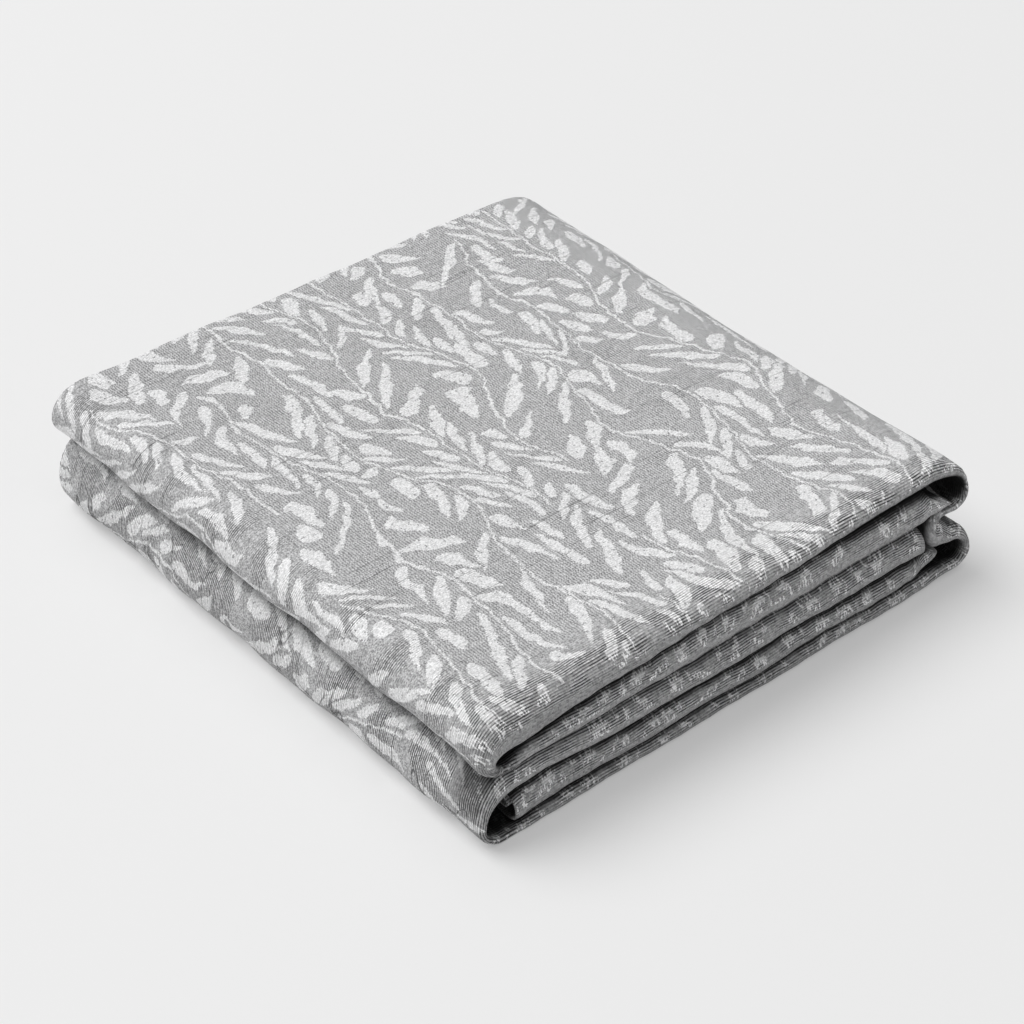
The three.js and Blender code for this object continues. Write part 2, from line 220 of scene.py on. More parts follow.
# Half a leaf's width, and from the stem to its foot and tip: the least, and what is drawn by lot.
LEAF_HALF, LEAF_FOOT, LEAF_TIP = (2.6, 1.7), (0.9, 2), (STEM_GAP / 2 + 1.5, -5)
LEAF_BOW, LEAF_STRAYS = 0.9, 0.25  # how far it may bow, and stray from its place
TAPER = (0.75, -0.4, 1.2)  # power of a leaf's outline, and how it narrows towards the tip
ROUND_LEAF = {"lots above": 0.8, "foot": 2.5, "tip": -2.5, "half": 0.8}  # and what these gain
NO_LEAF = 0.1  # lots below this leave a cell empty
BARE_SPOTS = (2.2, 0.79)  # size, and the noise above which a spot is bare
# What keeps the lots of rows, sides, leaves, stems and threads apart.
ROW_LOT, SIDE_LOTS, LEAF_LOT, STEM_LOT, THREAD_LOT = 2.7, (11.3, 3.7), 40.5, 1.9, 3.3
BROAD_BEND, SMALL_BEND = (30, 80), (3.2, 6.5)  # size and length of the bends that rows follow

# ---- Room in the baked map, in cells of a 1024 square: left, low, right and high ----
BAKE_SIZE = 1024
BAKE_SEGMENTS = (("B", "left upper"), ("A", "right upper"), ("lip", "E"), ("left lower", "C"),
                 ("tucked", "D"))
BAKE_ROLLS = (4, 648, 75, 716)  # left, low, spacing and length of the strips
BAKE_STRIPS = ((0, 56), (59, 12))  # low and height of each roll's and back fold's
BAKE_OVERLAP = 6  # points that a roll shares with the face
BAKE_FACES = {
    ("left upper", "right upper"): (4, 4, 724, 640),
    ("left lower", "left lower"): (730, 4, 800, 640),
    ("lip", "right lower"): (806, 4, 876, 640),
    ("E", "E"): (882, 4, 1020, 400),
}
BAKE_REST = (730, 648, 1018, 1018)
BAKE_CAPS = (884, 408, 636)  # left, low and high of the free ends,
BAKE_CAP = (8, 10)  # the width of one, and their spacing

# ---- The stage, in metres ----
FLOOR_HALF = 6.0
FLOOR_PAINTED_SHADE = (-0.7, 0.8, 1.01, 0.94)  # towards the right: from, to, and shares of its colour, a painted shade
LAMPS = (
    ("Window", "lamp", 42, (-0.5, 0.68, 1.25)),
    ("Overhead", "overhead", 70, (-0.1, 0.15, 1)),
)
CAMERA_TURN, CAMERA_RISE = -40.438, 37.346  # degrees
CAMERA_AWAY, CAMERA_AIM = 1.297438, (0.010183, 0.012621, 0)
LENS, SENSOR = 93.84, 36


# ---- Small helpers ----
def ease(value, low, high):
    share = np.clip((np.asarray(value, float) - low) / (high - low), 0, 1)
    return share * share * (3 - 2 * share)


def blend(a, b, share):
    return a + (b - a) * share


def line_height(name, x):
    """Height of a line between two runs, as [front, deep]: a smooth curve through its table."""
    x = min(max(x, LINE_X[0]), LINE_X[-1])
    i = min(max(int(np.searchsorted(LINE_X, x, side="right")), 1), len(LINE_X) - 1)
    t0, t1 = LINE_X[i - 1], LINE_X[i]
    before = i - 2 if i >= 2 else i
    after = i + 1 if i + 1 < len(LINE_X) else i - 1
    w_before = 0.5 * (t1 - t0) / (t0 - LINE_X[before])
    w_after = 0.5 * (t1 - t0) / (LINE_X[after] - t1)
    p = (x - t0) / (t1 - t0)
    weights = (
        w_before * (-(p**3) + 2 * p**2 - p),
        (1 + w_before) * p**3 + (-1.5 - 2 * w_before) * p**2 + (-0.5 + w_before) * p + 1,
        (-1 - w_after) * p**3 + (1.5 + w_after) * p**2 + 0.5 * p,
        w_after * (p**3 - p**2),
    )
    lift = LIFT[2] * ease(x, LIFT[0], LIFT[1]) if name == "floor" else 0
    around = list(zip(weights, (before, i - 1, i, after)))
    return np.array([sum(w * line[k] for w, k in around) + lift for line in LINES[name]])


# ---- Stations: cuts across the strap ----
class Station:
    """Outer and inner face as [front, deep] pairs of x and z, and how its front edge is drawn."""

    def __init__(self, outer_x, outer_z, inner_x, inner_z, edge, tight, part):
        self.outer = np.array([outer_x, outer_z], float).T
        self.inner = np.array([inner_x, inner_z], float).T
        self.edge, self.tight, self.part = edge, tight, part

    @property
    def lies(self):
        """1 where the front lies on its side with its outer face up, and -1 with it down."""
        drop = self.outer[0] - self.inner[0]
        return float(drop[1] / np.linalg.norm(drop))

    def face(self, which, share):
        a, b = (self.outer, self.inner)[which]
        return a + (b - a) * np.asarray(share)[..., None]

    def thickness(self, y):
        outer, inner = (self.face(which, front_share(y)) for which in (0, 1))
        return np.linalg.norm(outer - inner, axis=-1)

    def pitch(self, y):
        return (self.thickness(y) - CLOTH) / 3

    def depth(self, layer, y):
        return CLOTH / 2 + layer * self.pitch(y)


def front_share(y):
    return np.clip((np.asarray(y, float) - FRONT_ENDS) / (DEEP_STARTS - FRONT_ENDS), 0, 1)


def run_station(name, x, ends):
    direction, _, _, over_line, under_line = RUNS[name]
    space = np.array([GAP / 2 + FRONT_GAP, GAP / 2])
    over = line_height(over_line, x) - (0 if over_line == "top" else space)
    under = line_height(under_line, x) + (0 if under_line == "floor" else space)
    if name == "C":
        over = over - ease(x, *LIP_ROOM["C"]) * np.array([LIP + GAP, STRAP + GAP])
    if name == "B":
        under = under + ease(x, *LIP_ROOM["B"]) * np.array([END_RISE, STRAP + GAP])
        over = over - ease(x, *DROP[:2]) * np.array(DROP[2])
    outer, inner = (over, under) if direction > 0 else (under, over)
    tight = ease(x, *DRAWN_TIGHT[name]) if name in DRAWN_TIGHT else 0
    for bend, end in ends:
        away = abs(x - BENDS[bend][1][end])
        swell_length = BENDS[bend][5][end]
        swell = ease(away, 0, swell_length)
        drawn = np.array([BENDS[bend][3][2 * end], STRAP])
        inner = blend(outer - direction * drawn, inner, swell)
        tight = max(tight, 1 - ease(away, swell_length / 2, swell_length))
    if name in FREE_ENDS:
        pinched = 1 - ease(abs(x - FREE_ENDS[name]), 0, PINCH[1])
        pinched = direction * pinched * np.array(PINCH[0])
        outer, inner = outer - pinched, inner + pinched
    *drawn, depth = DRAWN_BACK.get(name, (0, 1, 0))
    edge = depth * ease(x, *drawn)
    inner_x = x - SLANT[2] * ease(x, *SLANT[:2]) if name == "B" else x
    return Station([x, x], outer, [inner_x, x], inner, edge, tight, name)


def run_stations(name, ends):
    start, end = RUNS[name][1:3]
    low, high = sorted((start, end))
    places = [low]
    for (first, last), spacing in zip(STRETCHES, SPACING[name]):
        first, last = max(first, low), min(last, high)
        if last > first:
            count = max(1, round((last - first) / spacing))
            places += list(np.linspace(first, last, count + 1)[1:])
    if start > end:
        places.reverse()
    return [run_station(name, x, ends) for x in places]


def lip_stations(name, side, fronts):
    """Stations along a lip of the notch, where the strap runs straight."""
    result = []
    for x, z, front in zip(*LIPS[name], fronts):
        outer = np.array([z, z])
        inner = outer + side * np.array([front, STRAP])
        result.append(Station([x, x], outer, [x, x], inner, 0, 1, "lip"))
    return [between(*result, i / LIP_STEPS) for i in range(LIP_STEPS + 1)]


def between(a, b, share):
    return Station(
        *blend(a.outer, b.outer, share).T,
        *blend(a.inner, b.inner, share).T,
        blend(a.edge, b.edge, share),
        blend(a.tight, b.tight, share),
        a.part,
    )


def bend_stations(name, before, after):
    """Stations of a bend: a quarter turn up to its crest and another one from there."""
    side, bases, (crest_x, crest_at), front, deep, _ = BENDS[name]
    hollow = side if name == "notch" else -side
    inner_crest = [crest_x + hollow * front[1], crest_x + hollow * deep]
    steps = BEND_STEPS[name]
    result = []
    for i in range(1, steps):
        angle = math.pi * i / steps
        is_in = i < steps / 2
        if is_in:
            turned = crest_at * (1 - math.cos(angle))
        else:
            turned = crest_at - (1 - crest_at) * math.cos(angle)
        base = bases[0 if is_in else 1]
        station = between(before, after, turned)
        for x, faces in zip((crest_x, *inner_crest), (station.outer, *station.inner)):
            reach = side * max((x - base) * side, GAP / 2) * math.sin(angle)
            faces[..., 0] = base + reach
        station.edge = blend(before.edge, after.edge, ease(i / steps, *EDGE_MOVES[name]))
        station.part = name
        result.append(station)
    return result


def strap_stations():
    """All stations along the strap, from run B's free end to run D's."""
    lower_front = (BENDS["notch"][3][2], BENDS["right lower"][3][0])
    parts = [
        run_stations("B", [("left upper", 0)]),
        run_stations("A", [("left upper", 1), ("right upper", 0)]),
        lip_stations("upper", 1, (LIP, LIP)),
        lip_stations("lower", -1, lower_front),
        run_stations("E", [("right lower", 1), ("left lower", 0)]),
        run_stations("C", [("left lower", 1)]),
        run_stations("D", []),
    ]
    stations = list(parts[0])
    for name, part in zip(BENDS, parts[1:]):
        stations += bend_stations(name, stations[-1], part[0]) + part
    return stations


# ---- The section of the strap ----
def roll_profile(height, upright):
    """How far a front roll reaches out at each height of its band, as a share of its full reach.
    One that lies on its side sags and turns under sharply. One that stands on edge is round."""
    even = np.sqrt(np.clip(1 - (2 * height - 1) ** 2, 0, 1))
    under = np.clip((FULLEST - height) / FULLEST, 0, 1)
    over = np.clip((height - FULLEST) / (1 - FULLEST), 0, 1)
    low = (1 - under ** ROUNDS_UNDER[0]) ** ROUNDS_UNDER[1]
    high = (1 - over ** ROUNDS_OVER[0]) ** ROUNDS_OVER[1]
    return blend(np.where(height < FULLEST, low, high), even, upright)


def section(cut):
    """Middle line of the sheet through one station: y, depth, the way its outer side faces and
    the distance along it, counted from the middle of the outer layer."""
    rows = []

    def flat(layer, start, end, shares, faces):
        for y in start + (end - start) * shares:
            rows.append((y, cut.depth(layer, y), 0, faces))

    def roll(y, reach, steps):
        first, last = (cut.depth(layer, y) for layer in (3, 0))
        shares = (1 - np.cos(np.linspace(0, math.pi, steps + 1))) / 2
        height = shares if cut.lies >= 0 else 1 - shares
        ys = y + reach * roll_profile(height, 1 - abs(cut.lies))
        depths = first + (last - first) * shares
        along_y, along_depth = np.gradient(ys), np.gradient(depths)
        lengths = np.hypot(along_y, along_depth)
        for i in range(1, steps):
            facing = (along_depth[i] / lengths[i], -along_y[i] / lengths[i])
            rows.append((ys[i], depths[i], *facing))

    def turn(y, reach, layers, steps, faces):
        first, last = (cut.depth(layer, y) for layer in layers)
        middle, half = (first + last) / 2, (last - first) / 2
        for angle in np.linspace(0, math.pi, steps + 1)[1:-1]:
            facing = np.array([math.sin(angle) / reach, -math.cos(angle) / half])
            facing *= faces / np.linalg.norm(facing)
            rows.append((y + math.sin(angle) * reach, middle - half * math.cos(angle), *facing))

    nose = min(NOSE, cut.thickness(cut.edge + ROLL_MEASURED) / 2)
    roll_ends = cut.edge + nose
    full = (1 - cut.tight) * ease(cut.thickness(roll_ends), *FULL_ROLL)
    tucked = blend(max(TUCK, cut.edge + ROLL_TUCK), cut.edge + ROLL_TUCK, full)
    inner_ends = tucked + cut.pitch(tucked) / 2 + CLOTH / 2
    back_radius = cut.pitch(WIDTH) / 2
    back_ends = WIDTH - back_radius - CLOTH / 2
    hem = WIDTH - HEM_INSET
    flat(3, hem, roll_ends, HIDDEN, 1)
    roll(roll_ends, CLOTH / 2 - nose, ROLL_STEPS)
    face_starts = len(rows)
    flat(0, roll_ends, back_ends, FACE, -1)
    face_ends = len(rows)
    turn(back_ends, back_radius, (0, 1), TURN_STEPS, 1)
    turn_ends = len(rows)
    flat(1, back_ends, inner_ends, 1 - INSIDE[::-1], 1)
    turn(inner_ends, -cut.pitch(tucked) / 2, (1, 2), INNER_STEPS, -1)
    flat(2, inner_ends, hem, INSIDE, -1)
    rows = np.array(rows, float)
    steps = np.linalg.norm(np.diff(rows[:, :2], axis=0), axis=1)
    across = np.concatenate([[0], np.cumsum(steps)])
    middle = np.interp(WIDTH / 2, rows[face_starts:face_ends, 0], across[face_starts:face_ends])
    roll_starts, strip_ends = len(HIDDEN) - 2, face_starts + BAKE_OVERLAP
    zones = (roll_starts, strip_ends), (strip_ends, face_ends), (face_ends, turn_ends)
    return rows, across - middle, zones


def sheet_rings(cut):
    """Points of the sheet's outer and inner side at one station, their distances across, and the
    marks of the folds there, from which ribs and painted shade are drawn."""
    rows, across, zones = section(cut)
    ys, depths = rows[:, 0], rows[:, 1]
    outer = cut.face(0, front_share(ys))
    into = cut.face(1, front_share(ys)) - outer
    into /= np.linalg.norm(into, axis=1)[:, None]
    sides = []
    for side in (1, -1):
        y = ys + side * rows[:, 2] * CLOTH / 2
        xz = outer + into * (depths + side * rows[:, 3] * CLOTH / 2)[:, None]
        lean = LEAN[0] * ease(y, LEAN[1], WIDTH) * ease(xz[:, 0], LEAN[2], LEAN[3])
        stand_in = STAND_IN[0] * ease(y, STAND_IN[1], WIDTH) * xz[:, 0] / LEAN[3]
        sides.append(np.stack([xz[:, 0] + lean, y - stand_in, xz[:, 1]], axis=1))
    thickness = cut.thickness(ys)
    band = 0.5 + cut.lies * (0.5 - depths / thickness)
    if cut.part in ("A", "left upper", "right upper"):
        band = band * blend(1, OPEN_BAND, abs(cut.lies))
    near_front = 1 - ease(ys, *FRONT_FADES)
    near_left = 1 - ease(outer[:, 0], *LEFT_FADES)
    upright = np.full(len(rows), 1 - abs(cut.lies))
    # Where the material paints shade inside an open fold: its innermost layers, back from the edge.
    inmost = (depths - CLOTH / 2) / (thickness - CLOTH)
    hollow = ease(inmost, *HOLLOW_LAYERS) * ease(ys, *HOLLOW_STARTS)
    marks = np.stack([near_front, band, near_left, hollow, upright, np.zeros_like(ys)], axis=1)
    return sides, across, marks, zones


# ---- The cloth as one closed piece ----
def cloth_arrays():
    """Points, distances across and along and marks of every station's ring, outer side first, the
    rows of its zones, the parts' names and the strap's length."""
    cuts = strap_stations()
    rings, distances, marks, zones = zip(*(sheet_rings(cut) for cut in cuts))
    points = np.array([np.concatenate([sides[0], sides[1][::-1]]) for sides in rings])
    across, marks = (
        np.array([np.concatenate([ring, ring[::-1]]) for ring in table])
        for table in (distances, marks)
    )
    # The weave isn't squeezed on the outside of a bend, nor along its middle.
    outers = np.array([cut.outer[1] for cut in cuts])
    middles = np.array([(cut.outer[1] + cut.inner[1]) / 2 for cut in cuts])
    steps = [np.linalg.norm(np.diff(line, axis=0), axis=1) for line in (outers, middles)]
    along = np.concatenate([[0], np.cumsum(np.maximum(*steps))])
    names = [cut.part for cut in cuts]
    along += np.sum(steps[0][: names.index("A")]) - along[names.index("A")]
    return points, across, along, marks, zones[0], names, float(np.sum(steps[1]))


def bake_layout(names, rows, along, across):
    """Places every face in the square map that looks are baked into: most of it for the top and
    the front rolls, and one small corner for what lies hidden between the layers."""
    last_cut, count = len(names) - 1, across.shape[1]

    def reach(first, last):
        """From the station before one part to the station after another."""
        after = last_cut - names[::-1].index(last) + 1
        return max(names.index(first) - 1, 0), min(after, last_cut)

    blocks = []
    left, base, spacing, length = BAKE_ROLLS
    for number, parts in enumerate(BAKE_SEGMENTS):
        for strip, (low, tall) in zip((rows[0], rows[2]), BAKE_STRIPS):
            low += base + number * spacing
            blocks.append((*reach(*parts), *strip, (left, low, left + length, low + tall)))
    blocks += [(*reach(*parts), *rows[1], box) for parts, box in BAKE_FACES.items()]
    blocks.append((0, last_cut, 0, count, BAKE_REST))

    def place(ring, k):
        """Corners of the face that starts at this ring and this point of the section."""
        for start, end, low, high, (x0, y0, x1, y1) in blocks:
            if start <= ring < end and low <= k < high:
                break
        corners = []
        for r, j in ((ring, k), (ring + 1, k), (ring + 1, k + 1), (ring, k + 1)):
            u = (along[r] - along[start]) / (along[end] - along[start])
            if high == count:
                v = j / count
            else:
                v = (across[r, j] - across[r, low]) / (across[r, high] - across[r, low])
            corners.append((x0 + (x1 - x0) * u, y0 + (y1 - y0) * v))
        return corners

    return place


def cloth_mesh(name):
    """The cloth's mesh, and its flat size across and along the strap."""
    points, across, along, marks, rows, names, strap = cloth_arrays()
    rings, count = points.shape[:2]
    place = bake_layout(names, rows, along, across)
    quads, uvs, bakes = [], [], []

    def add(corners, baked):
        quads.append([r * count + k for r, k in corners])
        uvs.extend((along[r], across[r, k]) for r, k in corners)
        bakes.extend(baked)

    for ring in range(rings - 1):
        for i in range(count):
            j = (i + 1) % count
            add([(ring, i), (ring + 1, i), (ring + 1, j), (ring, j)], place(ring, i))
    half = count // 2
    left, low, high = BAKE_CAPS
    wide, tall = BAKE_CAP[0], (high - low) / half
    for ring, turned in ((0, False), (rings - 1, True)):
        for i in range(half - 1):
            corners = [(ring, k) for k in (i, i + 1, count - 2 - i, count - 1 - i)]
            if turned:
                corners.reverse()
            cell = ((0, i), (0, i + 1), (1, i + 1), (1, i))
            add(corners, [(left + x * wide, low + y * tall) for x, y in cell])
        left += BAKE_CAP[1]
    mesh = bpy.data.meshes.new(name)
    points = soften(points.reshape(-1, 3)) - np.array([*CENTRE, 0])
    mesh.from_pydata((points * MM).tolist(), [], quads)
    for key, columns in (("Place", slice(0, 3)), ("Fold", slice(3, 6))):
        values = marks.reshape(-1, 6)[:, columns].astype(np.float32).ravel()
        mesh.attributes.new(key, "FLOAT_VECTOR", "POINT").data.foreach_set("vector", values)
    for key, values in (("Weave", np.array(uvs) * MM), ("OFBake", np.array(bakes) / BAKE_SIZE)):
        mesh.uv_layers.new(name=key).data.foreach_set("uv", values.astype(np.float32).ravel())
    mesh.polygons.foreach_set("use_smooth", [True] * len(mesh.polygons))
    mesh.update()
    return mesh, (float(np.ptp(across, axis=1).mean()), strap)


def waves(table, x, z):
    return sum(
        size * np.sin(2 * math.pi * x / length + rise * z + start)
        for size, length, rise, start in table
    )


def soften(points):
    """Bends the space that the stack lies in: its lines waver, and layers stay as far apart."""
    x, y, z = points.T.copy()
    front, left = 1 - ease(y, *BEHIND_FRONT), 1 - ease(x, *BEHIND_LEFT)
    inside = ease(z, *OVER_FLOOR) * (1 - ease(z, *UNDER_TOP))
    ripple, swell, sway = waves(LINE_WAVES, x, z), waves(FRONT_WAVES, x, z), waves(LEFT_WAVES, y, z)
    billow = sum(
        size * np.sin(2 * math.pi * (x / length_x + y / length_y) + start)
        for size, length_x, length_y, start in TOP_WAVES
    )
    lift = front * inside * ripple + left * inside * LEFT_LIFT * sway
    lift += ease(z, *TOP_SETS_IN) * billow
    shoulder = SHOULDER[0] * np.clip(1 - y / SHOULDER[1], 0, 1) ** 2 * ease(z, *SHOULDER_SETS_IN)
    return np.stack([x + left * sway, y + front * swell, z + lift - shoulder], axis=1)


# ---- Nodes ----
class Value:
    """A number that nodes work out. Sums with it are written as sums."""

    def __init__(self, wires, socket):
        self.wires, self.socket = wires, socket

    def __rsub__(self, other):
        return self.wires.math("SUBTRACT", other, self)

    def __floordiv__(self, other):
        return (self / other).floor()


for way, kind in {
    "__add__": "ADD", "__sub__": "SUBTRACT", "__mul__": "MULTIPLY", "__truediv__": "DIVIDE",
    "__pow__": "POWER", "__abs__": "ABSOLUTE", "__gt__": "GREATER_THAN", "__lt__": "LESS_THAN",
    "floor": "FLOOR", "fract": "FRACT", "sine": "SINE", "root": "SQRT", "or_more": "MAXIMUM",
}.items():
    setattr(Value, way, lambda value, *others, kind=kind: value.wires.math(kind, value, *others))


class Wiring:
    """Puts nodes into a tree and joins them up."""

    def __init__(self, tree):
        self.tree = tree

    def node(self, kind, **settings):
        node = self.tree.nodes.new(kind if "Node" in kind else "ShaderNode" + kind)
        for key, value in settings.items():
            setattr(node, key, value)
        return node

    def feed(self, sockets, values):
        """Feeds sockets by name or number, from other nodes or with plain values."""
        named = values.items() if isinstance(values, dict) else enumerate(values)
        for key, value in named:
            value = getattr(value, "socket", value)
            if isinstance(value, bpy.types.NodeSocket):
                self.tree.links.new(value, sockets[key])
            elif value is not None:
                sockets[key].default_value = value

    def fed(self, kind, inputs, output=0, **settings):
        """Output of a new node with these inputs."""
        node = self.node(kind, **settings)
        self.feed(node.inputs, inputs)
        return Value(self, node.outputs[output])

    def finished(self, value):
        """The whole group, which gives out this value."""
        self.feed(self.node("NodeGroupOutput").inputs, [value])
        return self.tree

    def math(self, operation, *values, clamp=False):
        return self.fed("Math", values, operation=operation, use_clamp=clamp)

    def noise(self, vector, scale, detail=0, output="Fac"):
        inputs = {"Vector": vector, "Scale": scale, "Detail": detail}
        return self.fed("TexNoise", inputs, output, noise_dimensions="2D")

    def chance(self, x, y, output="Value"):
        """A number drawn by lot, the same wherever x and y are the same."""
        inputs = {"Vector": self.vector(x, y)}
        return self.fed("TexWhiteNoise", inputs, output, noise_dimensions="2D")

    def lots(self, x, y):
        """Three such numbers."""
        return self.split(self.chance(x, y, "Color"))

    def vector(self, x, y):
        return self.fed("CombineXYZ", (x, y))

    def split(self, vector):
        node = self.node("SeparateXYZ")
        self.feed(node.inputs, [vector])
        return [Value(self, socket) for socket in node.outputs]

    def scaled(self, vector, factor):
        inputs = {0: vector, "Scale": factor}
        return self.fed("VectorMath", inputs, operation="SCALE")

    def ramp(self, value, *ends, kind="SMOOTHSTEP"):
        """From one end to the other, and what it gives there where that isn't 0 and 1."""
        return self.fed("MapRange", (value, *ends), interpolation_type=kind)

    def blend(self, share, a, b):
        return self.fed("Mix", (share, None, a, b))


# ---- Puckers ----
def new_group(name, kind, inputs, outputs):
    """Wiring for a new group of nodes, and what is put into the group."""
    tree = bpy.data.node_groups.new(name, kind)
    for way, names in (("INPUT", inputs), ("OUTPUT", outputs)):
        for socket in names:
            kind = socket if socket in ("Geometry", "Material") else "Float"
            tree.interface.new_socket(socket, in_out=way, socket_type="NodeSocket" + kind)
    wires = Wiring(tree)
    given = wires.node("NodeGroupInput").outputs
    return wires, [Value(wires, given[name]) for name in inputs]


def pucker_tree():
    """Bends the cloth a very little, all layers together and never below the floor."""
    inputs = ("Geometry", "Depth", "Length", "Seed", "Clear of the floor", "Material")
    wires, given = new_group("Puckers", "GeometryNodeTree", inputs, inputs[:1])
    geometry, depth, length, seed, clear, material = given
    place = wires.node("GeometryNodeInputPosition").outputs[0]
    noise = {"Vector": place, "W": seed, "Scale": wires.math("DIVIDE", 1, length), "Detail": 1}
    noise = wires.fed("TexNoise", noise, "Color", noise_dimensions="4D")
    centred = wires.fed("VectorMath", (noise, (0.5, 0.5, 0.5)), operation="SUBTRACT")
    share = wires.math("DIVIDE", wires.split(place)[2], clear, clamp=True)
    steps = {
        "SetPosition": {"Offset": wires.scaled(centred, share * depth)},
        "RealizeInstances": {},
        "SetMaterial": {"Material": material},
    }
    for step, inputs in steps.items():
        geometry = wires.fed("GeometryNode" + step, {"Geometry": geometry, **inputs})
    return wires.finished(geometry)


def grown(piece, tree, values):
    """Gives the piece the plain mesh that the tree makes of it."""
    modifier = piece.modifiers.new(tree.name, "NODES")
    modifier.node_group = tree
    for item in tree.interface.items_tree:
        if item.in_out == "INPUT" and item.name in values:
            modifier[item.identifier] = values[item.name]
    drawn = bpy.context.evaluated_depsgraph_get()
    mesh = bpy.data.meshes.new_from_object(piece.evaluated_get(drawn), depsgraph=drawn)
    piece.modifiers.clear()
    piece.data = mesh


# ---- Materials ----
def new_material(name):
    material = bpy.data.materials.new(name)
    material.use_nodes = True
    tree = material.node_tree
    return material, tree, tree.nodes["Principled BSDF"], tree.nodes["Material Output"]


def leaf_group():
    """Rows of curved stems with pointed leaves on either side, each in a cell of its own. Much
    about them is drawn by lot."""
    wires, (along, across) = new_group("Leaves", "ShaderNodeTree", ["Along", "Across"], ["Leaf"])
    point = wires.vector(along, across)
    for size, length in (BROAD_BEND, SMALL_BEND):
        shift_x, shift_y, _ = wires.split(wires.noise(point, 1 / length, output="Color"))
        along = (shift_x - 0.5) * size + along
        across = (shift_y - 0.5) * size + across
    # Which row this is, and how far along its stem and off it.
    row = along // STEM_GAP
    start, turned, phase = wires.lots(row, ROW_LOT)
    along_stem = across * ((turned > 0.5) * 2 - 1) + start * ROW_SHIFT
    off_stem = along - (row + 0.5) * STEM_GAP
    for size, length, spread in STEM_WAVES:
        off_stem += (along_stem * (1 / length) + phase * spread).sine() * -size
    away, left = abs(off_stem), off_stem < 0
    # Which leaf this is, and what is drawn by lot for it.
    lean = wires.noise(wires.vector(along_stem, row * ROW_SHIFT), 1 / LEAN_VARIES[1])
    lean = (lean - 0.5) * LEAN_VARIES[0] + LEAF_LEAN
    reach = away * lean * (away * LEAF_ARCH + 1)
    place = (along_stem - reach) / LEAF_GAP + left * 0.5
    cell = place.floor()
    side = left * SIDE_LOTS[0] + row * SIDE_LOTS[1]
    length, offset, width = wires.lots(cell, side)
    curve, kind, tilt = wires.lots(side, cell + LEAF_LOT)
    is_round = kind > ROUND_LEAF["lots above"]
    # Its outline, from foot to tip about a middle line that is tilted and bowed.
    foot = offset * LEAF_FOOT[1] + (is_round * ROUND_LEAF["foot"] + LEAF_FOOT[0])
    tip = length * length * LEAF_TIP[1] + LEAF_TIP[0] + is_round * ROUND_LEAF["tip"]
    share = wires.math("DIVIDE", away - foot, tip - foot, clamp=True)
    bow = (curve - 0.5) * LEAF_BOW * abs(share - 0.5) ** 2
    middle = (tilt - 0.5) * (share - 0.5) + bow + 0.5 + (width - 0.5) * LEAF_STRAYS
    beside = abs(place.fract() - middle) * LEAF_GAP / (lean * lean + 1).root()
    bulge = wires.math("MULTIPLY", share * (1 - share), 4, clamp=True) ** TAPER[0]
    half = width * LEAF_HALF[1] + (is_round * ROUND_LEAF["half"] + LEAF_HALF[0])
    leaf = beside < half * (bulge * (share * TAPER[1] + TAPER[2]))
    leaf *= length > NO_LEAF
    leaf *= wires.noise(point, 1 / BARE_SPOTS[0]) < BARE_SPOTS[1]
    stem = wires.chance((along_stem / STEM_PIECE + turned).floor(), row * STEM_LOT)
    stem = (stem > STEM_BREAKS) * (away < STEM_HALF)
    return wires.finished(leaf.or_more(stem))


class Cloth(Wiring):
    """Wiring that knows where on the cloth a point lies, and how near to its folds."""

    def __init__(self, tree):
        super().__init__(tree)
        weave = self.split(self.node("UVMap", uv_map="Weave").outputs[0])
        self.along, self.across = (value * (1 / MM) for value in weave[:2])
        self.front, self.band, self.left = self.marks("Place")
        self.hollow, self.upright, _ = self.marks("Fold")
        _, self.back, self.height = self.split(self.node("TexCoord").outputs["Object"])
        self.thread, self.pick = self.across // THREAD, self.along // PICK
        self.own = self.chance(self.thread, THREAD_LOT)
        self.patches = self.cloud("patches")
        self.low_left = self.left * self.set_in("low", self.height)

    def marks(self, name):
        return self.split(self.node("Attribute", attribute_name=name).outputs["Vector"])

    def set_in(self, name, value):
        return self.ramp(value, *SETS_IN[name])

    def cloud(self, name):
        *stretches, scale, detail = CLOUDS[name]
        place = (
            value if stretch == 1 else value * stretch
            for value, stretch in zip((self.along, self.across), stretches)
        )
        return self.noise(self.vector(*place), scale, detail)


def thread_grain(cloth):
    """Grain of single threads, and towards the front more of pairs of them."""
    coarse = cloth.chance(*((value * 0.5).floor() for value in (cloth.pick, cloth.thread)))
    share = cloth.front * PAIRS_SHARE[0] + PAIRS_SHARE[1]
    return cloth.blend(share, cloth.chance(cloth.pick, cloth.thread), coarse)


def woven_leaves(cloth):
    """Where leaves and stems show, and how far a point is on a front roll, where they break up
    into floats. They are woven thread by thread, so their edges go in steps."""
    stepped = cloth.pick * PICK + cloth.own * PICK_SHIFT, cloth.thread * THREAD
    leaves = cloth.fed("Group", stepped, node_tree=leaf_group())
    roll = cloth.set_in("roll", cloth.front)
    lower, upper = (roll * cloth.set_in(name, cloth.band) for name in ("lower roll", "upper roll"))
    on_roll = lower.or_more(upper)
    floats = (cloth.own - 0.5) * FLOATS_VARY + cloth.cloud("floats")
    floats = (floats > FLOATS_SHOW) * cloth.set_in("floats", cloth.band)
    return leaves * floats.or_more(1.0 - on_roll), on_roll


